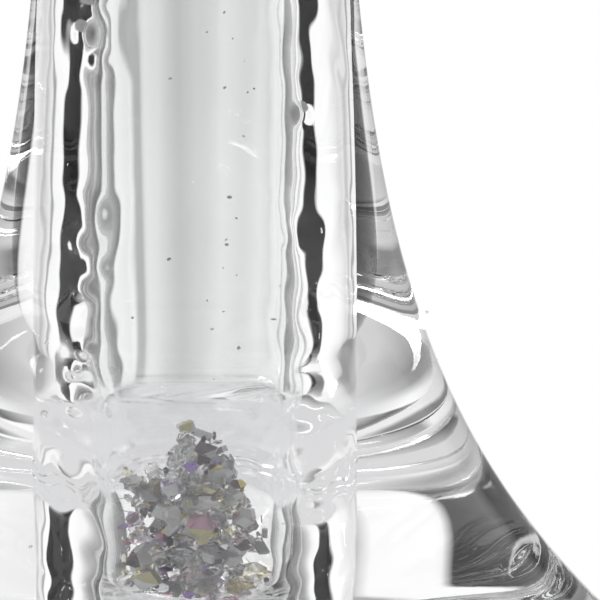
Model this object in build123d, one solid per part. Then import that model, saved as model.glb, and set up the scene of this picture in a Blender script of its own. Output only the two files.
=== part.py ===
"""Icicle hanging ornament: a flared glass bell that turns on the neck of a long twisted glass icicle.

Millimetres, +Z up. The origin is the inside top of the hook's upper crook, where a twig or peg carries the ornament.
Everything hangs on the Z axis below it: hook, jump ring, screw eye, crown cap, icicle stem with its bell, icicle tip.
"""

from build123d import *
import os
from math import asin, cos, degrees, exp, pi, radians, sin

# --- Hanging hook: one S of round wire in the XZ plane ---
HOOK_WIRE_R = 0.8
CROOK_INNER_R = 6.2  # clear radius of the open upper crook
CROOK_OPENING = 205  # where the upper crook's free end stops, degrees from +X over the top
LOWER_CROOK_R = 3.5  # centre line of the small crook that carries the ring
LOWER_CROOK_END = 415  # where its free end stops, degrees from +X round the bottom
CROOK_CENTRES = 18.0  # from the centre of one crook to the other

# --- Jump ring and screw eye ---
LINK_GAP = 0.05  # air between two wires that hang in each other
RING_WIRE_R = 0.6
RING_R = 4.5  # centre line
RING_SLIT = 0.15
EYE_WIRE_R = 0.7
EYE_R = 2.8  # centre line
EYE_SWEEP = 325  # degrees of loop that the wire makes before it stops
EYE_FLANGE_R = 1.7
EYE_FLANGE_T = 0.6
EYE_SHANK_R = 0.9
EYE_SHANK_BELOW_STEM_TOP = 8.0
EYE_POINT = 1.6

# --- Crown cap: spun sheet metal with a corrugated skirt ---
CAP_SHEET = 0.5
CAP_BOSS_R = 2.4
CAP_BOSS_H = 1.4
CAP_SHOULDER_R = 1.5  # rounding between the cap's top and its skirt
CAP_SKIRT = 7.0
CAP_SIDE_GAP = 0.6  # between the skirt and the top of the bell's neck
CAP_BEAD_R = 0.45  # rolled bead round the skirt, under the shoulder
CORRUGATIONS = 24
CORRUGATION_R = 0.55
CORRUGATION_DEPTH = 0.22
SCALLOPS = 12
SCALLOP_R = 1.5
SCALLOP_DEPTH = 0.9

# --- Washer and stopper in the stem's mouth ---
WASHER_T = 0.8
WASHER_HOLE_GAP = 0.3
STOPPER_LENGTH = 10.0
CEMENT = 0.05  # cemented joints: stopper, screw eye, seat collar

# --- Icicle: a glass tube drawn out into a solid twisted spike ---
STEM_R = 5.15
STEM_WALL = 0.75
STEM_PROUD = 1.5  # stem above the top of the bell
STEM_STEP = 0.03  # the drawn spike starts this much outside the straight stem
SHOULDER_BELOW_RIM = 4.2  # bell rim to the foot of the straight stem
SHOULDER_LENGTH = 12.0
SPIKE_R = 8.8
SPIKE_LENGTH = 108.0  # from the foot of the straight stem to the tip
TIP_R = 0.75
SPIKE_LOBES = 6
SPIKE_FLUTE = 0.10  # flute depth as a share of the spike's radius
SPIKE_TWIST = 2.1  # degrees a millimetre
SPIKE_RIPPLE = 0.035  # swelling and thinning along the spike, as a share of its radius
RIPPLE_PITCH = 21.0
SPIKE_SECTIONS = 24
SPIKE_RUN = 4  # sections in one loft, which turns by less than a lobe
LUMEN_ABOVE_RIM = 5.5  # where the tube's hollow ends, from the bell's rim

# --- Bell: thick flared glass, bored for the stem, dished underneath ---
NECK_WALL = 1.65  # glass round the bore where the neck is thinnest
FLARE_R = 1.25  # how much the flare adds at the flare datum
FLARE_RATE = 0.079  # growth of the flare a millimetre
NECK_ABOVE_DATUM = 12.0
FLARE_BELOW_DATUM = 31.0  # down to the rounded foot of the bell
FOOT_H = 12.0  # the rounded foot, down to the rim
FOOT_SPREAD = 3.0  # how much the foot adds to the flare's radius before it stands upright
BELL_LOBES = 10
BELL_FLUTE = 0.028  # flute depth at the rim as a share of the radius
FLUTES_ABOVE_RIM = 17.0  # where the flutes have died out
BELL_SECTIONS = 15
LIP = 1.0  # rounding under the rim
STEM_CLEARANCE = 0.15  # bell's bore over the stem at the top, radial
BORE_TAPER = 0.35  # how much wider the bore's radius is at its foot, tapering from the flare datum
CONE_ABOVE_RIM = 2.6  # the top of the cone under the bore, which bears on the seat collar
CONE_HEIGHT = 2.9
CONE_SPREAD = 2.1  # how much the cone widens
DISH_R = 15.0  # where the dished underside is highest
DISH_ABOVE_RIM = 1.6
RIM_LAND = 2.6  # width of the rim that is left under the flare

# --- Seat collar: tapered silicone sleeve that carries the bell ---
SEAT_GAP = 0.2  # straight down from the bell's cone
SEAT_SPREAD = 1.6  # how far the sleeve reaches past the bore
SEAT_SIDE = 1.8
SEAT_TAPER = 2.2
SEAT_FOOT_T = 0.75

# --- Glittering chips, loose in the closed end of the tube ---
CHIP = (1.5, 1.1, 0.8)
CHIP_PITCH = 2.15
CHIP_ROUND = 6  # chips round the middle one in each layer
CHIP_FILL_ABOVE_RIM = 19.5  # top of the heap
GOLDEN = 137.508

POINTS_A_LOBE = 2  # spline points that draw one flute: its ridge and its valley

# --- Heights worked out from the sizes above ---
crook_r = CROOK_INNER_R + HOOK_WIRE_R
crook_z = -CROOK_INNER_R
lower_crook_z = crook_z - CROOK_CENTRES
hook_foot_z = lower_crook_z - LOWER_CROOK_R  # wire centre that the ring swings on
ring_z = hook_foot_z + HOOK_WIRE_R + LINK_GAP + RING_WIRE_R - RING_R
ring_foot_z = ring_z - RING_R  # wire centre that the eye swings on
eye_z = ring_foot_z + RING_WIRE_R + LINK_GAP + EYE_WIRE_R - EYE_R
eye_flange_top = eye_z - EYE_R - EYE_WIRE_R / 2
cap_boss_top = eye_flange_top - EYE_FLANGE_T
cap_top = cap_boss_top - CAP_BOSS_H
washer_top = cap_top - CAP_SHEET
stem_top = washer_top - WASHER_T
bell_top = stem_top - STEM_PROUD
datum_z = bell_top - NECK_ABOVE_DATUM
flare_foot_z = datum_z - FLARE_BELOW_DATUM
rim_z = flare_foot_z - FOOT_H
cone_z = rim_z + CONE_ABOVE_RIM
stem_foot = rim_z - SHOULDER_BELOW_RIM
lumen_foot = rim_z + LUMEN_ABOVE_RIM
tip_z = stem_foot - SPIKE_LENGTH
stem_inner_r = STEM_R - STEM_WALL
bore_r = STEM_R + STEM_CLEARANCE
neck_r = bore_r + NECK_WALL
bore_foot_r = bore_r + BORE_TAPER
cone_foot_r = bore_foot_r + CONE_SPREAD


def bell_radius(z):
    """Mean radius of the bell's outside at height z: neck, flare, then a foot that rounds over to upright."""
    flare = FLARE_R * exp(FLARE_RATE * (datum_z - max(z, flare_foot_z)))
    down = max(0.0, flare_foot_z - z)
    return neck_r + flare + FOOT_SPREAD * (1 - exp(-down * flare * FLARE_RATE / FOOT_SPREAD))


def cone_height(r):
    """Height of the cone under the bore at radius r."""
    return cone_z - (r - bore_foot_r) * CONE_HEIGHT / CONE_SPREAD


def smooth(t):
    """0 to 1 with a level start and end."""
    t = min(1.0, max(0.0, t))
    return t * t * (3 - 2 * t)


def spike_radius(z):
    """Mean radius of the spike at height z, from the straight stem down to the tip."""
    down = stem_foot - z
    start = STEM_R + STEM_STEP
    if down <= SHOULDER_LENGTH:
        return start + (SPIKE_R - start) * smooth(down / SHOULDER_LENGTH)
    along = min(1.0, (down - SHOULDER_LENGTH) / (SPIKE_LENGTH - SHOULDER_LENGTH))
    ripple = 1 + SPIKE_RIPPLE * sin(2 * pi * (down - SHOULDER_LENGTH) / RIPPLE_PITCH)
    return (TIP_R + (SPIKE_R - TIP_R) * (1 - along) ** 0.92) * ripple


def fluted_section(z, radius, depth, lobes, turn=0.0):
    """A level face whose outline has shallow hollow flutes between rounded ridges."""
    count = lobes * POINTS_A_LOBE
    outline = []
    for i in range(count):
        angle = 2 * pi * i / count
        r = radius - depth * (1 + cos(lobes * angle)) / 2
        outline.append((r * cos(angle + radians(turn)), r * sin(angle + radians(turn))))
    return Pos(0, 0, z) * Face(Wire([Spline(*outline, periodic=True)]))


def loft_in_runs(sections, run):
    """Lofts that follow each other, each through the next few sections, joined into one solid."""
    solid = loft(sections[: run + 1])
    for start in range(run, len(sections) - 1, run):
        solid += loft(sections[start : start + run + 1])
    return solid


def wire_along(path, wire_r, round_ends=True):
    """Round wire that follows a path, with hemispherical ends."""
    wire = sweep(Plane(origin=path @ 0, z_dir=path % 0) * Circle(wire_r), path=path)
    if round_ends:
        for end in (0, 1):
            wire += Pos(*(path @ end)) * Sphere(wire_r)
    return wire


def lathe(outline):
    """A closed outline of (radius, height) points turned round the Z axis."""
    return revolve(Plane.XZ * make_face(Polyline(*outline, close=True)), Axis.Z)


def hanging_hook():
    tilt = degrees(asin((crook_r + LOWER_CROOK_R) / CROOK_CENTRES))
    upper = CenterArc((0, crook_z), crook_r, CROOK_OPENING, -(CROOK_OPENING + tilt))
    lower_start = 180 - tilt
    lower = CenterArc((0, lower_crook_z), LOWER_CROOK_R, lower_start, LOWER_CROOK_END - lower_start)
    shank = Line(upper @ 1, lower @ 0)
    return wire_along(Plane.XZ * Wire([upper, shank, lower]), HOOK_WIRE_R)


def top_ring():
    ring = Pos(0, 0, ring_z) * Rot(0, 90, 0) * Torus(RING_R, RING_WIRE_R)
    slit = Pos(0, RING_R, ring_z) * Box(4 * RING_WIRE_R, 4 * RING_WIRE_R, RING_SLIT)
    return ring - slit


def screw_eye():
    loop = CenterArc((0, eye_z), EYE_R, -90, EYE_SWEEP)
    eye = wire_along(Plane.XZ * Wire([loop]), EYE_WIRE_R)
    point_z = stem_top - EYE_SHANK_BELOW_STEM_TOP
    eye += lathe(
        [
            (0, eye_flange_top),
            (EYE_FLANGE_R, eye_flange_top),
            (EYE_FLANGE_R, cap_boss_top),
            (EYE_SHANK_R, cap_boss_top),
            (EYE_SHANK_R, point_z + EYE_POINT),
            (0, point_z),
        ]
    )
    return eye


def crown_cap():
    inner_r = bell_radius(bell_top) + CAP_SIDE_GAP
    outer_r = inner_r + CAP_SHEET
    foot = cap_top - CAP_SHEET - CAP_SKIRT
    cap = Pos(0, 0, (cap_top + foot) / 2) * Cylinder(outer_r, cap_top - foot)
    cap = fillet(cap.edges().group_by(Axis.Z)[-1], CAP_SHOULDER_R)
    cap += Pos(0, 0, cap_top - CAP_SHOULDER_R - CAP_BEAD_R) * Torus(outer_r, CAP_BEAD_R)
    room_top = cap_top - CAP_SHEET
    room = Pos(0, 0, (room_top + foot) / 2) * Cylinder(inner_r, room_top - foot)
    cap -= fillet(room.edges().group_by(Axis.Z)[-1], CAP_SHOULDER_R - CAP_SHEET)
    cap += Pos(0, 0, (cap_boss_top + room_top) / 2) * Cylinder(CAP_BOSS_R, cap_boss_top - room_top)
    cap -= Pos(0, 0, room_top) * Cylinder(EYE_SHANK_R + CEMENT, 4 * CAP_BOSS_H)
    groove_top = cap_top - CAP_SHOULDER_R - 2.5 * CAP_BEAD_R
    groove = Pos(outer_r + CORRUGATION_R - CORRUGATION_DEPTH, 0, groove_top) * Cylinder(
        CORRUGATION_R, groove_top - foot + 1, align=(Align.CENTER, Align.CENTER, Align.MAX)
    )
    cap -= [Rot(0, 0, 360 / CORRUGATIONS * (i + 0.5)) * groove for i in range(CORRUGATIONS)]
    scallop = Pos(outer_r, 0, foot - SCALLOP_R + SCALLOP_DEPTH) * Rot(0, 90, 0) * Cylinder(SCALLOP_R, 4)
    return cap - [Rot(0, 0, 360 / SCALLOPS * i) * scallop for i in range(SCALLOPS)]


def cap_washer():
    washer = Pos(0, 0, washer_top - WASHER_T / 2) * Cylinder(STEM_R, WASHER_T)
    return washer - Pos(0, 0, washer_top) * Cylinder(EYE_SHANK_R + WASHER_HOLE_GAP, 4 * WASHER_T)


def neck_stopper():
    radius = stem_inner_r - CEMENT
    cork = Pos(0, 0, stem_top - STOPPER_LENGTH / 2) * Cylinder(radius, STOPPER_LENGTH)
    cork = chamfer(cork.edges().group_by(Axis.Z)[0], radius / 9)
    point_z = stem_top - EYE_SHANK_BELOW_STEM_TOP
    pilot = lathe(
        [
            (0, stem_top + 1),
            (EYE_SHANK_R + CEMENT, stem_top + 1),
            (EYE_SHANK_R + CEMENT, point_z + EYE_POINT),
            (0, point_z - CEMENT),
        ]
    )
    return cork - pilot


def icicle_stem():
    sections = []
    for i in range(SPIKE_SECTIONS + 1):
        z = stem_foot - SPIKE_LENGTH * i / SPIKE_SECTIONS
        radius = spike_radius(z)
        depth = radius * SPIKE_FLUTE * smooth((stem_foot - z) / SHOULDER_LENGTH)
        sections.append(fluted_section(z, radius, depth, SPIKE_LOBES, SPIKE_TWIST * (stem_foot - z)))
    stem = loft_in_runs(sections, SPIKE_RUN)
    stem += Pos(0, 0, tip_z) * Sphere(spike_radius(tip_z) * (1 - SPIKE_FLUTE))
    stem += Pos(0, 0, (stem_top + stem_foot) / 2) * Cylinder(STEM_R, stem_top - stem_foot)
    stem -= Pos(0, 0, stem_top + 1) * Cylinder(
        stem_inner_r, stem_top + 1 - lumen_foot - stem_inner_r, align=(Align.CENTER, Align.CENTER, Align.MAX)
    )
    stem -= Pos(0, 0, lumen_foot + stem_inner_r) * Sphere(stem_inner_r)
    return stem


def ice_bell():
    sections = []
    for i in range(BELL_SECTIONS):
        z = bell_top + (rim_z - bell_top) * i / (BELL_SECTIONS - 1)
        spread = smooth(1 - (z - rim_z) / FLUTES_ABOVE_RIM)
        radius = bell_radius(z)
        sections.append(fluted_section(z, radius, radius * BELL_FLUTE * spread, BELL_LOBES))
    bell = loft(sections)
    rim_r = bell_radius(rim_z)
    lip = [
        fluted_section(rim_z, rim_r, rim_r * BELL_FLUTE, BELL_LOBES),
        fluted_section(rim_z - LIP * 0.6, rim_r - LIP * 0.1, rim_r * BELL_FLUTE, BELL_LOBES),
        fluted_section(rim_z - LIP, rim_r - LIP * 0.6, rim_r * BELL_FLUTE, BELL_LOBES),
    ]
    bell += loft(lip)
    lip_z = rim_z - LIP
    cone_foot = (cone_foot_r, cone_height(cone_foot_r))
    dish = (DISH_R, rim_z + DISH_ABOVE_RIM)
    dish_rim = (rim_r - RIM_LAND, lip_z)
    above = bell_top + 1
    below = lip_z - 1
    outline = [
        Polyline((0, above), (bore_r, above), (bore_r, datum_z), (bore_foot_r, cone_z), cone_foot),
        Spline(cone_foot, dish, dish_rim, tangents=[(1.0, 0.5), (1.0, -0.6)]),
        Polyline(dish_rim, (dish_rim[0], below), (0, below), (0, above)),
    ]
    return bell - revolve(Plane.XZ * make_face(outline), Axis.Z)


def seat_collar():
    inner = STEM_R + CEMENT
    outer = bore_foot_r + SEAT_SPREAD
    side_top = cone_height(outer) - SEAT_GAP
    side_foot = side_top - SEAT_SIDE
    return lathe(
        [
            (inner, cone_height(inner) - SEAT_GAP),
            (outer, side_top),
            (outer, side_foot),
            (inner + SEAT_FOOT_T, side_foot - SEAT_TAPER),
            (inner, side_foot - SEAT_TAPER),
        ]
    )


def ice_chips():
    """Small blocks in layers up the closed end of the tube, each turned its own way, heaped in the middle."""
    reach = sum(side * side for side in CHIP) ** 0.5 / 2
    ring_r = stem_inner_r - CEMENT - reach - 0.6
    top = rim_z + CHIP_FILL_ABOVE_RIM
    chips = []
    layer_z = lumen_foot + 1.6
    layer = 0
    while layer_z < top:
        crowded = layer_z - lumen_foot < stem_inner_r - 1.0  # the round end holds only the middle chip
        around = [] if crowded or layer_z > top - CHIP_PITCH else range(CHIP_ROUND)
        spots = [(0.0, 0.0)] + [(ring_r, 360 / CHIP_ROUND * k + 23 * layer) for k in around]
        for radius, angle in spots:
            turn = GOLDEN * len(chips)
            place = Pos(radius * cos(radians(angle)), radius * sin(radians(angle)), layer_z)
            chips.append(place * Rot(turn, 1.7 * turn, 0.6 * turn) * Box(*CHIP))
        layer_z += CHIP_PITCH
        layer += 1
    return Compound(children=chips)


NODES = {
    "hanging_hook": hanging_hook,
    "top_ring": top_ring,
    "screw_eye": screw_eye,
    "crown_cap": crown_cap,
    "cap_washer": cap_washer,
    "neck_stopper": neck_stopper,
    "icicle_stem": icicle_stem,
    "seat_collar": seat_collar,
    "ice_bell": ice_bell,
    "ice_chips": ice_chips,
}

os.makedirs("parts", exist_ok=True)
for name, build in NODES.items():
    export_step(build(), f"parts/{name}.step")
print(f"hook foot {hook_foot_z:.3f}, ring foot {ring_foot_z:.3f}, stem top {stem_top:.3f}, bell top {bell_top:.3f}")
print(f"datum {datum_z:.3f}, cone {cone_z:.3f}, rim {rim_z:.3f}, stem foot {stem_foot:.3f}, tip {tip_z:.3f}")
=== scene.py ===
import math
import random

import bpy
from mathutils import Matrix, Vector, noise


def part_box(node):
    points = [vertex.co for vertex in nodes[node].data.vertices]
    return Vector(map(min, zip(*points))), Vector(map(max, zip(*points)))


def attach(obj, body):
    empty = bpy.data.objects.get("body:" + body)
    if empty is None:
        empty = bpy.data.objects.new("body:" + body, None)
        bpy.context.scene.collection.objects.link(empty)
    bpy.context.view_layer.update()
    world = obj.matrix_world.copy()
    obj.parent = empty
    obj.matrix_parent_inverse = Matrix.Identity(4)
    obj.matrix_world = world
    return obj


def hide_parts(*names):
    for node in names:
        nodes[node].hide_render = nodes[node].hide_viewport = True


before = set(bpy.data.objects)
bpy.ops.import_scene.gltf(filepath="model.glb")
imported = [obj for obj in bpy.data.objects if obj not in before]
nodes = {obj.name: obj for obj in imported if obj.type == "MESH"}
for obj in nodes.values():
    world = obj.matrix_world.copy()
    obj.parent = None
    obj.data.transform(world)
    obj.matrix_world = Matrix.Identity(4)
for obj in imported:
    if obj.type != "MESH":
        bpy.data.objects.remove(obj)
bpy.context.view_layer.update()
bpy.ops.object.select_all(action="DESELECT")


# --- Hanging hook ---
# Nickel-plated steel wire, bent on a jig into an S with its two ends rounded over. It keeps faint draw
# marks along its length, and cloudy patches where the plating has dulled.

NICKEL = (0.80, 0.79, 0.77, 1)
TARNISH = (0.46, 0.44, 0.42, 1)
DRAW_MARKS = 900.0
CLOUDS = 260.0


class Tap:
    """One output of a finish's nodes, so that shader maths is written as plain sums."""

    def __init__(self, finish, socket):
        self.finish = finish
        self.socket = socket

    def sum(self, operation, first, second):
        return self.finish.node("ShaderNodeMath", {"operation": operation}, {0: first, 1: second})

    def __add__(self, other):
        return self.sum("ADD", self, other)

    def __radd__(self, other):
        return self.sum("ADD", other, self)

    def __rsub__(self, other):
        return self.sum("SUBTRACT", other, self)

    def __mul__(self, other):
        return self.sum("MULTIPLY", self, other)

    def __pow__(self, other):
        return self.sum("POWER", self, other)


class Finish:
    """A surface finish: one material with a Principled shader, whose nodes are added as it is described."""

    def __init__(self, name):
        self.material = bpy.data.materials.new(name)
        self.material.use_nodes = True
        self.tree = self.material.node_tree
        self.shader = self.tree.nodes["Principled BSDF"]

    def node(self, kind, settings, sockets, tap=0):
        made = self.tree.nodes.new(kind)
        for key, value in settings.items():
            if key == "stops":
                self.set_stops(made.color_ramp, value)
            else:
                setattr(made, key, value)
        self.feed(made, sockets)
        return Tap(self, made.outputs[tap])

    def set_stops(self, ramp, stops):
        while len(ramp.elements) < len(stops):
            ramp.elements.new(0.5)
        for element, (place, colour) in zip(ramp.elements, stops):
            element.position = place
            element.color = colour

    def feed(self, made, sockets):
        for key, value in sockets.items():
            if isinstance(value, Tap):
                self.tree.links.new(value.socket, made.inputs[key])
            else:
                made.inputs[key].default_value = value

    def surface(self, **sockets):
        """Sets the shader's sockets, named with underscores for spaces."""
        self.feed(self.shader, {key.replace("_", " "): value for key, value in sockets.items()})

    def place(self):
        return self.node("ShaderNodeTexCoord", {}, {}, "Object")

    def place_parts(self):
        """The same place as three numbers: across, deep and high."""
        parts = self.node("ShaderNodeSeparateXYZ", {}, {"Vector": self.place()}).socket.node.outputs
        return [Tap(self, parts[way]) for way in ("X", "Y", "Z")]

    def stretched(self, scale):
        return self.node("ShaderNodeMapping", {}, {"Vector": self.place(), "Scale": scale})

    def grain(self, vector, scale, detail=3.0):
        return self.node("ShaderNodeTexNoise", {}, {"Vector": vector, "Scale": scale, "Detail": detail})

    def mix(self, share, first, second):
        """Blends two colours; a Mix node has its colour sockets at 6 and 7, and its colour output at 2."""
        return self.node("ShaderNodeMix", {"data_type": "RGBA"}, {"Factor": share, 6: first, 7: second}, 2)

    def spread(self, value, low, high):
        """Maps the stretch from low to high onto 0 to 1, and holds it there beyond."""
        return self.node("ShaderNodeMapRange", {}, {"Value": value, "From Min": low, "From Max": high})

    def bump(self, height, distance, strength):
        return self.node("ShaderNodeBump", {}, {"Height": height, "Distance": distance, "Strength": strength})


def nickel_plate(name, draw, dull):
    """Bright nickel with marks drawn out along one way, and cloudy patches where the coat has dulled."""
    finish = Finish(name)
    marks = finish.grain(finish.stretched(draw), DRAW_MARKS, 2.0)
    cloud = finish.spread(finish.grain(finish.place(), CLOUDS, 4.0), 0.42, 0.72)
    finish.surface(
        Base_Color=finish.mix(cloud * dull, NICKEL, TARNISH),
        Metallic=1.0,
        Roughness=0.06 + marks * 0.06 + cloud * 0.14,
        Normal=finish.bump(marks, 0.00002, 0.35),
    )
    return finish


def coat(piece, finish):
    piece.data.materials.clear()
    piece.data.materials.append(finish.material)


coat(nodes["hanging_hook"], nickel_plate("hook nickel", draw=(1.0, 1.0, 0.08), dull=0.35))


# --- Jump ring ---
# A ring of the same nickel-plated wire, cut from a coil, with the fine slit where its two ends were
# closed against each other once the hook and the eye were on it.

coat(nodes["top_ring"], nickel_plate("ring nickel", draw=(0.3, 1.0, 1.0), dull=0.5))


# --- Screw eye ---
# One piece of nickel-plated steel: an open eye over a small flange, and below them a shank that goes
# through the cap and the washer and is screwed into the stopper.

coat(nodes["screw_eye"], nickel_plate("eye nickel", draw=(1.0, 1.0, 0.2), dull=0.45))


# --- Crown cap ---
# Thin sheet metal spun into a cup with a small boss on top, then corrugated and scalloped round its
# skirt. Its grooves hold a darker bloom, and its ridges are rubbed bright.

SKIRT_R = 0.00853
GROOVE = 0.00022
BOSS_H = 0.0014
BLOOM_STARTS = 0.0026
BLOOM_FULL = 0.0032
BLOOM_PATCHES = 700.0
BLOOM = (0.20, 0.18, 0.16, 1)
cap_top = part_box("crown_cap")[1][2] - BOSS_H


def cap_metal():
    finish = nickel_plate("cap nickel", draw=(0.25, 0.25, 2.0), dull=0.5)
    across, deep, height = finish.place_parts()
    radius = (across * across + deep * deep) ** 0.5
    in_groove = 1.0 - finish.spread(radius, SKIRT_R - GROOVE, SKIRT_R - GROOVE * 0.2)
    on_skirt = 1.0 - finish.spread(height, cap_top - BLOOM_FULL, cap_top - BLOOM_STARTS)
    patchy = finish.spread(finish.grain(finish.place(), BLOOM_PATCHES, 4.0), 0.30, 0.62)
    bloom = in_groove * on_skirt * patchy
    finish.surface(Base_Color=finish.mix(bloom, NICKEL, BLOOM), Roughness=0.16 + bloom * 0.34)
    return finish


coat(nodes["crown_cap"], cap_metal())


# --- Cap washer ---
# A disc of milky soft plastic, punched from sheet, that keeps the cap's metal off the end of the glass
# tube.

WASHER_MILK = (0.78, 0.80, 0.80, 1)
WASHER_PALE = (0.88, 0.89, 0.88, 1)

washer_milk = Finish("washer plastic")
washer_cloud = washer_milk.grain(washer_milk.place(), 500.0)
washer_milk.surface(
    Base_Color=washer_milk.mix(washer_cloud, WASHER_MILK, WASHER_PALE),
    Roughness=0.35 + washer_cloud * 0.2,
    Subsurface_Weight=0.3,
    Subsurface_Scale=0.001,
)
coat(nodes["cap_washer"], washer_milk)


# --- Neck stopper ---
# A plug of clear resin, glossy with a faint swirl in it, cast in the tube's mouth round the screw eye's
# shank.

SWIRLS = 420.0
DULLEST_SWIRL = 0.03


def clear_cast(name, ior, tint, ripple):
    """A clear solid: glass, resin or silicone, with faint waves left by the way it was made."""
    finish = Finish(name)
    swirl = finish.grain(finish.stretched((1.0, 1.0, 0.45)), SWIRLS, 2.0)
    finish.surface(
        Base_Color=finish.mix(swirl, (1, 1, 1, 1), tint),
        Roughness=finish.spread(swirl, 0.55, 0.95) * DULLEST_SWIRL,
        IOR=ior,
        Transmission_Weight=1.0,
        Normal=finish.bump(swirl, ripple, 1.0),
    )
    return finish


stopper_resin = clear_cast("stopper resin", ior=1.49, tint=(0.985, 0.99, 0.985, 1), ripple=0.00001)
coat(nodes["neck_stopper"], stopper_resin)


# --- Icicle stem ---
# One length of clear glass tube, its lower end closed in the flame and drawn out into a solid spike.
# The spike is twisted while soft, so that six shallow flutes wind down to the fire-polished tip.

STEM_R = 0.00515
LUMEN_R = 0.0044
SHOULDER = 0.012
SPIKE_R = 0.0088
TIP_R = 0.00075
FLUTES = 6
FLUTE_DEPTH = 0.10
TWIST = math.radians(2.1) / 0.001
RIPPLE = 0.035
RIPPLE_PITCH = 0.021
SPIKE_SLIMMING = 0.92
MOUTH_ROUND = 0.0004
HAND_WAVER = 0.02
WAVERS_AROUND = 3
WAVERS_ALONG = 160
STEM_FACETS = 120
SPIKE_STEPS = 190
TUBE_STEPS = 40
GLASS_IOR = 1.5
GLASS_TINT = (0.99, 0.995, 0.995, 1)
GLASS_RIPPLE = 0.000004


def smooth(t):
    """Rises from 0 to 1 as t does, with no corner at either end."""
    t = min(1.0, max(0.0, t))
    return t * t * (3 - 2 * t)


def along(low, high, count):
    """Evenly spaced numbers from low to high, in so many steps."""
    return [low + (high - low) * i / count for i in range(count + 1)]


def rounding(radius, height, r, start, end, count=6):
    """Points round a corner's arc about (radius, height), from one angle to another in degrees."""
    turns = [math.radians(a) for a in along(start, end, count)]
    return [(radius + r * math.cos(a), height + r * math.sin(a)) for a in turns]


def new_piece(name):
    """A new object in edit mode, with one small square to start from."""
    bpy.ops.object.select_all(action="DESELECT")
    bpy.ops.mesh.primitive_plane_add(size=0.001)
    piece = bpy.context.object
    piece.name = name
    bpy.ops.object.mode_set(mode="EDIT")
    return piece


def turned(name, outline, facets, closed):
    """A piece of revolution: its outline is drawn point by point from one vertex, then spun."""
    piece = new_piece(name)
    bpy.ops.mesh.merge(type="CENTER")
    steps = [Vector((radius, 0, height)) for radius, height in outline]
    if closed:
        steps.append(steps[0])
    bpy.ops.transform.translate(value=steps[0])
    for before, after in zip(steps, steps[1:]):
        bpy.ops.mesh.extrude_vertices_move(TRANSFORM_OT_translate={"value": after - before})
    bpy.ops.mesh.select_all(action="SELECT")
    bpy.ops.mesh.remove_doubles(threshold=1e-7)
    bpy.ops.mesh.spin(steps=facets, angle=math.tau, center=(0, 0, 0), axis=(0, 0, 1))
    bpy.ops.mesh.select_all(action="SELECT")
    bpy.ops.mesh.remove_doubles(threshold=2e-7)
    bpy.ops.mesh.normals_make_consistent(inside=False)
    bpy.ops.object.mode_set(mode="OBJECT")
    bpy.ops.object.shade_smooth()
    return piece


def worked(piece, push):
    """Works the soft glass: push gives a point's new radius from its radius, angle and height."""
    for vertex in piece.data.vertices:
        x, y, z = vertex.co
        radius = math.hypot(x, y)
        if radius > 1e-6:
            share = push(radius, math.atan2(y, x), z) / radius
            vertex.co = (x * share, y * share, z)
    piece.data.update()


LIP = 0.001
SHOULDER_BELOW_RIM = 0.0042
LUMEN_ABOVE_RIM = 0.0055
stem_low, stem_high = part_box("icicle_stem")
bell_low, bell_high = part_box("ice_bell")
rim_z = bell_low[2] + LIP
stem_top = stem_high[2]
stem_foot = rim_z - SHOULDER_BELOW_RIM
tip_z = stem_low[2] + TIP_R
lumen_foot = rim_z + LUMEN_ABOVE_RIM


def spike_radius(z):
    """The shoulder swells out of the tube; below it the spike tapers in soft ripples to its tip."""
    down = stem_foot - z
    if down <= SHOULDER:
        return STEM_R + (SPIKE_R - STEM_R) * smooth(down / SHOULDER)
    share = (down - SHOULDER) / (stem_foot - tip_z - SHOULDER)
    swell = 1 + RIPPLE * math.sin(math.tau * (down - SHOULDER) / RIPPLE_PITCH)
    return (TIP_R + (SPIKE_R - TIP_R) * (1 - share) ** SPIKE_SLIMMING) * swell


def spike_flutes(radius, angle, z):
    """Flutes wind down the spike; the lumen inside and the straight tube above stay round."""
    in_lumen = radius < LUMEN_R * 1.05 and z > lumen_foot - 0.0001
    if z > stem_foot or in_lumen:
        return radius
    deep = FLUTE_DEPTH * smooth((stem_foot - z) / SHOULDER)
    turn = angle - TWIST * (stem_foot - z)
    around = (WAVERS_AROUND * math.cos(angle), WAVERS_AROUND * math.sin(angle))
    hand = 1 + HAND_WAVER * noise.noise(Vector((*around, z * WAVERS_ALONG)))
    return radius * (1 - deep * (1 + math.cos(FLUTES * turn)) / 2) * (hand if deep > 0.02 else 1)


stem_outline = [(0.0, tip_z - TIP_R * 0.9)]
stem_outline += rounding(0, tip_z, TIP_R, -70, 0)
stem_outline += [(spike_radius(z), z) for z in along(tip_z, stem_foot, SPIKE_STEPS)[1:]]
stem_outline += [(STEM_R, z) for z in along(stem_foot, stem_top - MOUTH_ROUND, TUBE_STEPS)[1:]]
stem_outline += rounding(STEM_R - MOUTH_ROUND, stem_top - MOUTH_ROUND, MOUTH_ROUND, 15, 165)
stem_outline += [(LUMEN_R, z) for z in along(stem_top - 0.0005, lumen_foot + LUMEN_R, TUBE_STEPS)]
stem_outline += rounding(0, lumen_foot + LUMEN_R, LUMEN_R, -10, -80, 7)
stem_outline += [(0.0, lumen_foot)]
icicle = turned("icicle_glass", stem_outline, STEM_FACETS, closed=False)
worked(icicle, spike_flutes)
coat(icicle, clear_cast("icicle glass", GLASS_IOR, GLASS_TINT, GLASS_RIPPLE))
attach(icicle, "icicle")
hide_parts("icicle_stem")


# --- Ice chips and glitter ---
# Crushed clear chips with an iridescent coat, glossy shards and thin foil flakes among them, all loose in
# the closed end of the tube in an uneven heap. A little dust of the shards clings to the glass above it.

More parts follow.
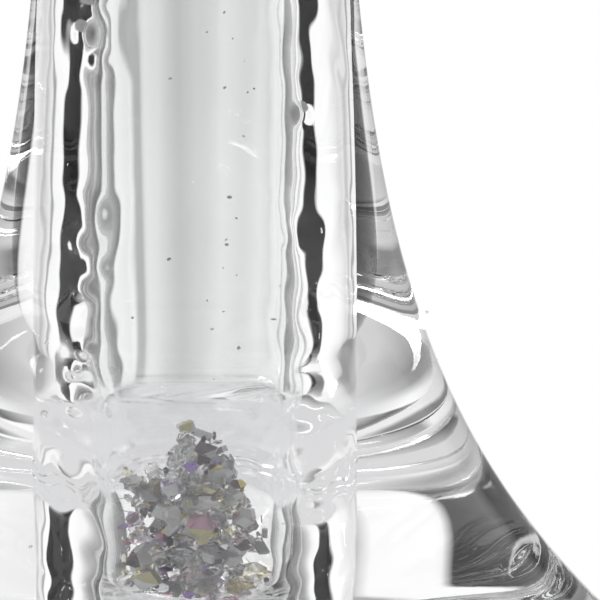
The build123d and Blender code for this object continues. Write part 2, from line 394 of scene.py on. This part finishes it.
CHIPS = 240
SHARDS = 130
FLAKES = 110
DUST = 26
CHIP_SIZES = (0.00032, 0.00105)
SHARD_SIZES = (0.0004, 0.0010)
FLAKE_SIZES = (0.00020, 0.00055)
FLAKE_THICKNESS = 0.00004
DUST_SIZES = (0.00005, 0.00013)
DUST_HEIGHTS = (0.0165, 0.039)
CLEAR_OF_GLASS = 0.0001
HEAP_PEAK = 0.0134
RIGHT_DROP, RIGHT_START, RIGHT_RUN = 0.0058, 0.0002, 0.0042
LEFT_DROP, LEFT_START, LEFT_RUN = 0.0023, 0.0003, 0.0016
HEAP_WAVE = 0.0004
HEAP_WAVES = 2600
draw_lots = random.Random(11)


def heap_top(x, y):
    """The heap's height at a place in the tube: highest near the middle, and lowest at the right."""
    right = RIGHT_DROP * smooth(max(0.0, x - RIGHT_START) / RIGHT_RUN)
    left = LEFT_DROP * smooth(max(0.0, -x - LEFT_START) / LEFT_RUN)
    return lumen_foot + HEAP_PEAK - right - left + HEAP_WAVE * math.sin(HEAP_WAVES * y)


def spot_in_tube(least, most):
    """A place for one bit in the heap, and a size that fits between there and the glass."""
    while True:
        x = draw_lots.uniform(-LUMEN_R, LUMEN_R)
        y = draw_lots.uniform(-LUMEN_R, LUMEN_R)
        z = draw_lots.uniform(lumen_foot, lumen_foot + HEAP_PEAK)
        floor = max(0.0, lumen_foot + LUMEN_R - z)
        to_glass = LUMEN_R - CLEAR_OF_GLASS - math.sqrt(x * x + y * y + floor * floor)
        room = min(to_glass, heap_top(x, y) - z)
        if room > least:
            return (x, y, z), draw_lots.uniform(least, min(room, most))


def any_way():
    return tuple(draw_lots.uniform(0, math.tau) for _ in range(3))


def loose_bits(name, count, one_bit):
    """Many small bits in one mesh; one_bit adds the next one in edit mode."""
    piece = new_piece(name)
    bpy.ops.mesh.delete(type="VERT")
    for _ in range(count):
        one_bit()
    bpy.ops.mesh.select_all(action="SELECT")
    bpy.ops.mesh.normals_make_consistent(inside=False)
    bpy.ops.object.mode_set(mode="OBJECT")
    bpy.ops.object.shade_flat()
    return piece


def ice_chip():
    spot, size = spot_in_tube(*CHIP_SIZES)
    bpy.ops.mesh.primitive_ico_sphere_add(
        subdivisions=1,
        radius=size,
        location=spot,
        rotation=any_way(),
        scale=(1.0, draw_lots.uniform(0.5, 1.0), draw_lots.uniform(0.3, 0.7)),
    )


def foil_flake():
    spot, size = spot_in_tube(*FLAKE_SIZES)
    bpy.ops.mesh.primitive_cylinder_add(
        vertices=6, radius=size, depth=FLAKE_THICKNESS, location=spot, rotation=any_way()
    )


def ice_shard():
    spot, room = spot_in_tube(*SHARD_SIZES)
    bpy.ops.mesh.primitive_cube_add(
        size=room * 1.4,
        location=spot,
        rotation=any_way(),
        scale=(1.0, draw_lots.uniform(0.5, 0.9), draw_lots.uniform(0.2, 0.6)),
    )


def dust_speck():
    """Specks cling to the wall that faces out, most of them in one streak right of the middle."""
    size = draw_lots.uniform(*DUST_SIZES)
    streak = draw_lots.random() < 0.7
    angle = math.radians(draw_lots.gauss(-70, 6) if streak else draw_lots.uniform(-160, -20))
    height = lumen_foot + draw_lots.uniform(*DUST_HEIGHTS)
    radius = LUMEN_R - size
    bpy.ops.mesh.primitive_ico_sphere_add(
        subdivisions=1,
        radius=size,
        location=(radius * math.cos(angle), radius * math.sin(angle), height),
        rotation=any_way(),
        scale=(1.0, 0.6, 0.8),
    )


# Each row gives where in the scatter a colour starts, from 0 to 1, and the colour.
PEARL = [
    (0.00, (0.99, 0.99, 0.99, 1)),
    (0.52, (0.96, 0.78, 0.88, 1)),
    (0.62, (0.98, 0.92, 0.60, 1)),
    (0.70, (0.72, 0.66, 0.92, 1)),
    (0.78, (0.70, 0.70, 0.72, 1)),
    (0.88, (0.95, 0.99, 0.98, 1)),
]
GLOSS = [
    (0.00, (0.92, 0.92, 0.93, 1)),
    (0.42, (0.80, 0.42, 0.58, 1)),
    (0.50, (0.86, 0.78, 0.40, 1)),
    (0.60, (0.12, 0.08, 0.12, 1)),
    (0.68, (0.94, 0.94, 0.95, 1)),
    (0.86, (0.50, 0.50, 0.54, 1)),
]
FOIL = [
    (0.00, (0.02, 0.02, 0.02, 1)),
    (0.36, (0.70, 0.24, 0.44, 1)),
    (0.46, (0.84, 0.70, 0.24, 1)),
    (0.56, (0.28, 0.16, 0.46, 1)),
    (0.68, (0.92, 0.92, 0.94, 1)),
    (0.84, (0.08, 0.05, 0.06, 1)),
]


def scattered_colours(finish, scale, stops):
    """A colour for each small cell of space, so that neighbouring bits differ."""
    cells = finish.node("ShaderNodeTexVoronoi", {}, {"Vector": finish.place(), "Scale": scale}, "Color")
    apart = finish.node("ShaderNodeSeparateColor", {}, {"Color": cells}, 0)
    return finish.node("ShaderNodeValToRGB", {"stops": stops}, {"Fac": apart})


def hard_stops(stops):
    """The same colours with a narrow step between neighbours, not a blend."""
    stepped = [stops[0]]
    for (_, before), (place, colour) in zip(stops, stops[1:]):
        stepped += [(place - 0.01, before), (place, colour)]
    return stepped


pearl = Finish("pearl ice")
pearl_grain = pearl.grain(pearl.place(), 2500.0)
pearl.surface(
    Base_Color=scattered_colours(pearl, 900.0, hard_stops(PEARL)),
    Roughness=pearl.spread(pearl_grain, 0.5, 0.8) * 0.12,
    IOR=1.42,
    Transmission_Weight=0.92,
    Normal=pearl.bump(pearl_grain, 0.00003, 0.5),
)
gloss = Finish("frosted ice")
gloss_grain = gloss.grain(gloss.place(), 1800.0)
gloss.surface(
    Base_Color=scattered_colours(gloss, 800.0, hard_stops(GLOSS)),
    Roughness=0.12 + gloss_grain * 0.3,
    IOR=1.45,
    Coat_Weight=0.6,
    Normal=gloss.bump(gloss_grain, 0.00004, 0.5),
)
foil = Finish("glitter foil")
foil_grain = foil.grain(foil.place(), 3000.0)
foil.surface(
    Base_Color=scattered_colours(foil, 1500.0, hard_stops(FOIL)),
    Metallic=0.9,
    Roughness=0.16 + foil_grain * 0.2,
    Normal=foil.bump(foil_grain, 0.00001, 0.4),
)

chips = loose_bits("ice_chip_heap", CHIPS, ice_chip)
coat(chips, pearl)
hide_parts("ice_chips")
shards = loose_bits("ice_shards", SHARDS, ice_shard)
coat(shards, gloss)
flakes = loose_bits("glitter_flakes", FLAKES, foil_flake)
coat(flakes, foil)
dust = loose_bits("glitter_dust", DUST, dust_speck)
coat(dust, gloss)
for bits in (chips, shards, flakes, dust):
    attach(bits, "icicle")


# --- Seat collar ---
# A tapered sleeve of clear silicone, moulded and pushed up the tube. The cone under the bell's bore rests
# and turns on it.

BORE_FOOT_R = 0.00565
CONE_ABOVE_RIM = 0.0026
CONE_SLOPE = 2.9 / 2.1
SEAT_GAP = 0.0002
SEAT_BORE = STEM_R + 0.00005
SEAT_R = 0.00725
SEAT_SIDE = 0.0018
SEAT_FOOT_R = SEAT_BORE + 0.00075
EDGE = 0.0001
SEAT_FACETS = 96


def cone_height(radius):
    """How high the cone under the bell's bore stands at a radius."""
    return rim_z + CONE_ABOVE_RIM - (radius - BORE_FOOT_R) * CONE_SLOPE


seat_low, seat_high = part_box("seat_collar")
seat_side_top = cone_height(SEAT_R) - SEAT_GAP
seat_side_foot = seat_side_top - SEAT_SIDE
seat_outline = [(SEAT_BORE, z) for z in along(seat_high[2] - EDGE, seat_low[2] + EDGE, 12)]
seat_outline += [(r, seat_low[2]) for r in along(SEAT_BORE + EDGE, SEAT_FOOT_R - EDGE, 3)]
for t in along(0.0, 1.0, 14):
    taper_r = SEAT_FOOT_R + (SEAT_R - SEAT_FOOT_R) * smooth(t)
    seat_outline += [(taper_r, seat_low[2] + EDGE + t * (seat_side_foot - seat_low[2]))]
seat_outline += [(SEAT_R, z) for z in along(seat_side_foot, seat_side_top - 0.0003, 5)[1:]]
seat_outline += [(r, cone_height(r) - SEAT_GAP) for r in along(SEAT_R - 0.00015, SEAT_BORE + EDGE, 8)]
collar = turned("seat_sleeve", seat_outline, SEAT_FACETS, closed=True)
coat(collar, clear_cast("seat silicone", ior=1.41, tint=(0.97, 0.98, 0.98, 1), ripple=0.00001))
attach(collar, "icicle")
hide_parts("seat_collar")


# --- Ice bell ---
# Thick clear glass, gathered and flared by hand into a bell with ten soft lobes, bored for the tube and
# slightly dished underneath. The bore was left as the tool tore it, with tears and pits down both sides,
# and a few seeds of air are caught in the wall.

MM = 0.001
NECK_R = 0.00695
FLARE_R = 0.00125
FLARE_RATE = 79.0
BORE_R = 0.0053
BORE_TEAR = 0.00007
CONE_FOOT_R = 0.00775
DISH_R = 0.015
DISH_ABOVE_RIM = 0.0016
BELL_LOBES = 10
BELL_FLUTE = 0.028
FLUTES_ABOVE_RIM = 0.017
FLARE_FOOT_ABOVE_RIM = 0.012
DATUM_BELOW_TOP = 0.012
FOOT_SPREAD = 0.003
RIM_LAND = 0.0026
RIM_ROUND = 0.0009
TOP_ROUND = 0.0005
BELL_FACETS = 240
FLARE_STEPS = 190
DISH_STEPS = 30
BORE_STEPS = 220
# The tears run between two bearings off the front, in degrees, and fade in and out over two more.
TEARS_START, TEARS_FADE_IN = 24, 18
TEARS_END, TEARS_FADE_OUT = 115, 30
# Between two heights above the flare's foot, in millimetres, the bore is calmer.
CALM_LOW, CALM_HIGH, CALM_FADE = 20.5, 27.0, 1.2
CALMED = 0.75
# A pit's bearing off the front in degrees, then its height above the flare's foot, radius and depth in
# millimetres.
PITS = [
    (-52, 30.2, 1.1, 0.10), (-57, 29.0, 0.9, 0.12), (-47, 27.6, 0.8, 0.07), (-50, 19.6, 1.3, 0.10),
    (-56, 18.2, 0.8, 0.08), (-46, 17.0, 0.9, 0.09), (-53, 15.9, 0.9, 0.10), (-50, 12.6, 0.6, 0.10),
    (-57, 11.3, 0.6, 0.12), (-55, 9.6, 1.1, 0.14), (55, 24.9, 0.7, 0.12), (48, 18.5, 0.8, 0.05),
]
bell_top = bell_high[2]
datum_z = bell_top - DATUM_BELOW_TOP
cone_z = rim_z + CONE_ABOVE_RIM
dish_z = rim_z + DISH_ABOVE_RIM
flare_foot_z = rim_z + FLARE_FOOT_ABOVE_RIM


def bell_radius(z):
    """The flare widens ever faster down to its foot, and below that turns down into an upright rim."""
    flare = FLARE_R * math.exp(FLARE_RATE * (datum_z - max(z, flare_foot_z)))
    down = max(0.0, flare_foot_z - z)
    return NECK_R + flare + FOOT_SPREAD * (1 - math.exp(-down * flare * FLARE_RATE / FOOT_SPREAD))


def bore_radius(z):
    """The bore is straight down to the datum, and below that it widens a little to its cone."""
    return BORE_R + (BORE_FOOT_R - BORE_R) * max(0.0, (datum_z - z) / (datum_z - cone_z))


def pitted(off_front, height):
    """How far the pits in the bore reach into the glass at a place on its wall."""
    depth = 0.0
    for angle, level, size, deep in PITS:
        across = math.radians(off_front - angle) * BORE_R * 1000
        near = math.hypot(across, height - level) / size
        depth += deep * MM * smooth(1.0 - near)
    return depth


def torn(angle, off_front, height, z):
    """How far the tool's tears push the bore's wall out at a place on it."""
    sides = smooth((abs(off_front) - TEARS_START) / TEARS_FADE_IN) * smooth(
        (TEARS_END - abs(off_front)) / TEARS_FADE_OUT
    )
    calm_zone = smooth((height - CALM_LOW) / CALM_FADE) * smooth((CALM_HIGH - height) / CALM_FADE)
    around = (math.cos(angle) * 1.6, math.sin(angle) * 1.6)
    coarse = noise.noise(Vector((around[0], around[1], z * 190)))
    fine = noise.noise(Vector((around[0] * 2.4, around[1] * 2.4, z * 620 + 7)))
    return BORE_TEAR * sides * (1.0 - CALMED * calm_zone) * (0.4 + 1.6 * coarse + 0.8 * fine)


def bell_wall(radius, angle, z):
    """Tears and pits in the bore, and lobes on the outside that are deepest at the rim."""
    if radius < bore_radius(z) * 1.01 and z > cone_z + 0.0002:
        off_front = math.degrees(math.atan2(math.cos(angle), -math.sin(angle)))
        height = (z - flare_foot_z) * 1000
        return radius + torn(angle, off_front, height, z) + pitted(off_front, height)
    outside = radius > bell_radius(z) * 0.985
    if outside or radius > DISH_R:
        deep = BELL_FLUTE * smooth(1 - (z - rim_z) / FLUTES_ABOVE_RIM)
        deep *= 1.0 if outside else smooth((radius - DISH_R) / (dish_rim_r - DISH_R))
        return radius * (1 - deep * (1 + math.cos(BELL_LOBES * angle)) / 2)
    return radius


def drawn_curve(start, leaving, end, arriving, count):
    """Points on the smooth curve between two points that leaves and arrives along the two given ways."""
    points = []
    for t in along(0.0, 1.0, count):
        keep = 1 - smooth(t)
        turn = t * (1 - t)
        point = (
            a * keep + d * turn * (1 - t) + b * (1 - keep) - e * turn * t
            for a, d, b, e in zip(start, leaving, end, arriving)
        )
        points.append(tuple(point))
    return points


rim_r = bell_radius(rim_z)
lip_z = rim_z - LIP
dish_rim_r = rim_r - RIM_LAND
dish_rim = (dish_rim_r, lip_z + 0.0001)
dish_middle = (DISH_R, dish_z)
cone_foot = (CONE_FOOT_R, cone_height(CONE_FOOT_R))
bell_outline = [(bell_radius(z), z) for z in along(bell_top - TOP_ROUND, rim_z, FLARE_STEPS)]
bell_outline += rounding(rim_r - RIM_ROUND, rim_z - 0.0001, RIM_ROUND, -5, -90, 8)
bell_outline += [(dish_rim_r + 0.0004, lip_z + 0.00002)]
bell_outline += drawn_curve(dish_rim, (-0.007, 0.004), dish_middle, (-0.007, 0.0), DISH_STEPS)
bell_outline += drawn_curve(dish_middle, (-0.0067, 0.0), cone_foot, (-0.0067, -0.0034), DISH_STEPS)[1:]
bell_outline += [(r, cone_height(r)) for r in along(CONE_FOOT_R - 0.0002, BORE_FOOT_R + 0.0002, 10)]
bell_outline += [(bore_radius(z), z) for z in along(cone_z + 0.0003, bell_top - 0.0004, BORE_STEPS)]
bell_outline += rounding(BORE_R + TOP_ROUND, bell_top - TOP_ROUND, TOP_ROUND, 170, 90, 4)
bell_outline += rounding(bell_radius(bell_top) - TOP_ROUND, bell_top - TOP_ROUND, TOP_ROUND, 90, 20, 4)
bell = turned("bell_glass", bell_outline, BELL_FACETS, closed=True)
worked(bell, bell_wall)
coat(bell, clear_cast("bell glass", GLASS_IOR, GLASS_TINT, GLASS_RIPPLE))
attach(bell, "bell")
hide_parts("ice_bell")

# A seed's place across, height above the flare's foot, depth in the wall and radius, in millimetres.
SEEDS = [
    (9.3, 18.8, 0.9, 0.16), (12.0, 13.0, 0.25, 0.14), (-6.8, 10.2, 1.6, 0.22), (-6.9, 12.3, 1.8, 0.14),
    (-6.6, 13.6, 2.0, 0.12), (11.6, 15.4, 0.6, 0.08), (13.1, 10.2, 0.5, 0.10), (-9.0, 22.0, 0.7, 0.07),
    (-7.4, 4.0, 1.2, 0.10), (2.4, 27.6, 1.4, 0.05), (-12.6, 11.4, 0.8, 0.11), (4.4, 5.2, 0.9, 0.08),
]


def air_seed():
    """The next seed, on the side of the wall that faces the camera."""
    across, height, under, size = next(seeds_left)
    level = flare_foot_z + height * MM
    skin = bell_radius(level) - under * MM
    deep = math.sqrt(max(0.0, skin * skin - across * across * 1e-6))
    bpy.ops.mesh.primitive_uv_sphere_add(
        segments=24, ring_count=14, radius=size * MM, location=(across * MM, -deep, level)
    )


seeds_left = iter(SEEDS)
seeds = loose_bits("bell_seeds", len(SEEDS), air_seed)
bpy.ops.object.shade_smooth()
coat(seeds, clear_cast("air in glass", ior=1 / GLASS_IOR, tint=(1.0, 1.0, 1.0, 1), ripple=0.0))
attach(seeds, "bell")


# --- Bench, light and camera ---
# A pale bench top below the tip, and a long lens framed on the bell's flare. Round them stands a tent,
# painted inside with upright light and dark bands, which the glass draws as its long lines.

CENTRE_X = 0.00525
CENTRE_Z = -0.07165
CAMERA_BACK = 0.30
SENSOR = 36.0
FRAME_WIDTH = 0.030
BENCH_Z = -0.235
BENCH_THICKNESS = 0.02
BENCH_GREY = (0.86, 0.86, 0.86, 1)
BENCH_PALE = (0.89, 0.89, 0.885, 1)
TENT_R = 1.2
TENT_Z = -0.075
TENT_FLOOR = (0.70, 0.70, 0.71, 1)
# The bands give way to the dome and to the floor between these shares of the tent's radius.
DOME_STARTS, DOME_FULL = 0.03, 0.08
FLOOR_STARTS, FLOOR_FULL = 0.66, 0.86
# The dome's glow at shares of the tent's height.
TENT_ABOVE = [(0.50, 0.30), (0.66, 0.22), (0.70, 0.86), (0.95, 0.90)]
# The bands' glow at bearings in degrees: 0 is straight behind the icicle, and 90 is on its +X side.
TENT = [
    (-180, 0.72), (-163, 0.10), (-150, 0.10), (-147, 0.66), (-128, 0.60), (-108, 0.26), (-94, 0.30),
    (-80, 0.95), (-66, 1.05), (-63, 0.0), (-38, 0.0), (-35, 1.05), (-22, 1.0), (-20, 0.42), (-17, 0.42),
    (-15, 0.92), (-9, 0.76), (-4, 0.56), (-1, 0.60), (4, 0.84), (12, 0.78), (24, 0.92), (36, 1.05),
    (51, 1.05), (53, 0.0), (67, 0.0), (69, 1.05), (80, 0.95), (94, 0.30), (108, 0.26), (130, 0.62),
    (180, 0.72),
]

bpy.ops.object.camera_add(
    location=(CENTRE_X, -CAMERA_BACK, CENTRE_Z), rotation=(math.radians(90), 0, 0)
)
camera = bpy.context.object
camera.data.sensor_width = SENSOR
camera.data.lens = SENSOR * CAMERA_BACK / FRAME_WIDTH
camera.data.clip_start = 0.01
camera.data.clip_end = 100
bpy.context.scene.camera = camera

bpy.ops.mesh.primitive_cylinder_add(
    vertices=96, radius=2.4, depth=BENCH_THICKNESS, location=(0, 0, BENCH_Z - BENCH_THICKNESS / 2)
)
bench = bpy.context.object
bench.name = "bench_top"
bench_paint = Finish("bench paint")
bench_grain = bench_paint.grain(bench_paint.place(), 60.0)
bench_paint.surface(Base_Color=bench_paint.mix(bench_grain, BENCH_GREY, BENCH_PALE), Roughness=0.6)
coat(bench, bench_paint)
bench.visible_transmission = False
bench.visible_glossy = False

bpy.ops.mesh.primitive_uv_sphere_add(segments=180, ring_count=60, radius=TENT_R, location=(0, 0, TENT_Z))
tent = bpy.context.object
tent.name = "light_tent"
cloth = Finish("tent cloth")
tent_x, tent_y, tent_z = cloth.place_parts()
bearing = cloth.node("ShaderNodeMath", {"operation": "ARCTAN2"}, {0: tent_x, 1: tent_y})
turn = bearing * (0.5 / math.pi) + 0.5
band_stops = [((degrees + 180) / 360, (glow, glow, glow, 1)) for degrees, glow in TENT]
bands = cloth.node("ShaderNodeValToRGB", {"stops": band_stops}, {"Fac": turn})
rise = tent_z * (0.5 / TENT_R) + 0.5
dome_stops = [(share, (glow, glow, glow, 1)) for share, glow in TENT_ABOVE]
dome = cloth.node("ShaderNodeValToRGB", {"stops": dome_stops}, {"Fac": rise})
in_dome = cloth.spread(tent_z, TENT_R * DOME_STARTS, TENT_R * DOME_FULL)
in_floor = cloth.spread(tent_z, -TENT_R * FLOOR_STARTS, -TENT_R * FLOOR_FULL)
cloth.surface(
    Base_Color=(0, 0, 0, 1),
    Specular_IOR_Level=0.0,
    Emission_Color=cloth.mix(in_floor, cloth.mix(in_dome, bands, dome), TENT_FLOOR),
    Emission_Strength=1.0,
)
coat(tent, cloth)
tent.visible_camera = False
tent.visible_diffuse = False
tent.visible_shadow = False

bpy.ops.object.light_add(
    type="AREA", location=(-0.5, -0.6, 0.6), rotation=(math.radians(45), 0, math.radians(-40))
)
softbox = bpy.context.object
softbox.data.shape = "DISK"
softbox.data.size = 0.5
softbox.data.energy = 6.0
softbox.visible_camera = False
softbox.visible_glossy = False

world = bpy.data.worlds.new("studio")
world.use_nodes = True
sky = world.node_tree
backdrop = sky.nodes["Background"]
backdrop.inputs["Color"].default_value = (1, 1, 1, 1)
fill = sky.nodes.new("ShaderNodeBackground")
fill.inputs["Color"].default_value = (0.88, 0.88, 0.89, 1)
choice = sky.nodes.new("ShaderNodeMixShader")
path = sky.nodes.new("ShaderNodeLightPath")
sky.links.new(path.outputs["Is Camera Ray"], choice.inputs["Fac"])
sky.links.new(fill.outputs["Background"], choice.inputs[1])
sky.links.new(backdrop.outputs["Background"], choice.inputs[2])
sky.links.new(choice.outputs["Shader"], sky.nodes["World Output"].inputs["Surface"])
bpy.context.scene.world = world

cycles = bpy.context.scene.cycles
cycles.max_bounces = 28
cycles.transmission_bounces = 28
cycles.glossy_bounces = 10
bpy.context.scene.view_settings.view_transform = "Standard"
